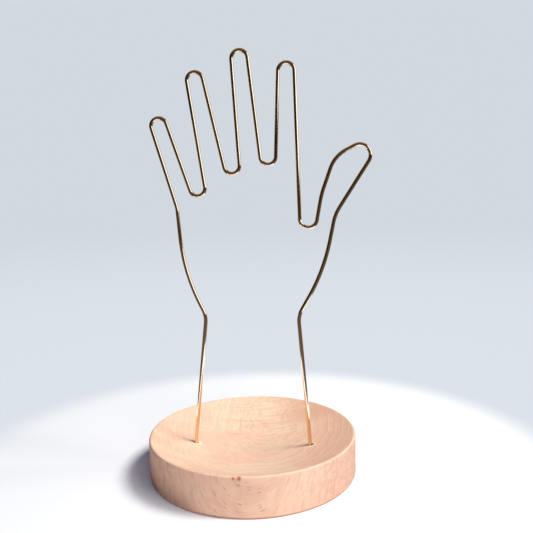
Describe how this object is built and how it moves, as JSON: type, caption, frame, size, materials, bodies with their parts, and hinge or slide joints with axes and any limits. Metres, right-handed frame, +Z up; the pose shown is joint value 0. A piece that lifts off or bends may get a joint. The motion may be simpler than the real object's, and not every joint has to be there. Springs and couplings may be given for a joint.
{
  "type": "hand jewelry stand",
  "caption": "Upright wire outline of an open hand plugged into a round turned wooden dish. Rings, bracelets and necklaces hang on the fingers and small jewelry lies in the dish.",
  "frame": {"origin": "middle of the wooden base's flat underside", "axes": "+Z up out of the dish along the base's axis; the flat hand stands in the XZ plane with its thumb towards +X and its palm facing along Y"},
  "size_m": [0.1406, 0.13, 0.26],
  "materials": {
    "beech": "pale beech, fine sanded and lightly oiled, with short ray flecks",
    "brass_wire": "polished warm gold brass"
  },
  "bodies": {
    "base": {"wooden_base": "beech"},
    "hand": {"wire_hand": "brass_wire"}
  },
  "joints": [
    {"name": "hand_lift", "type": "slide", "parent": "base", "child": "hand", "axis": [0, 0, 1], "range_m": [0, 0.03]}
  ]
}
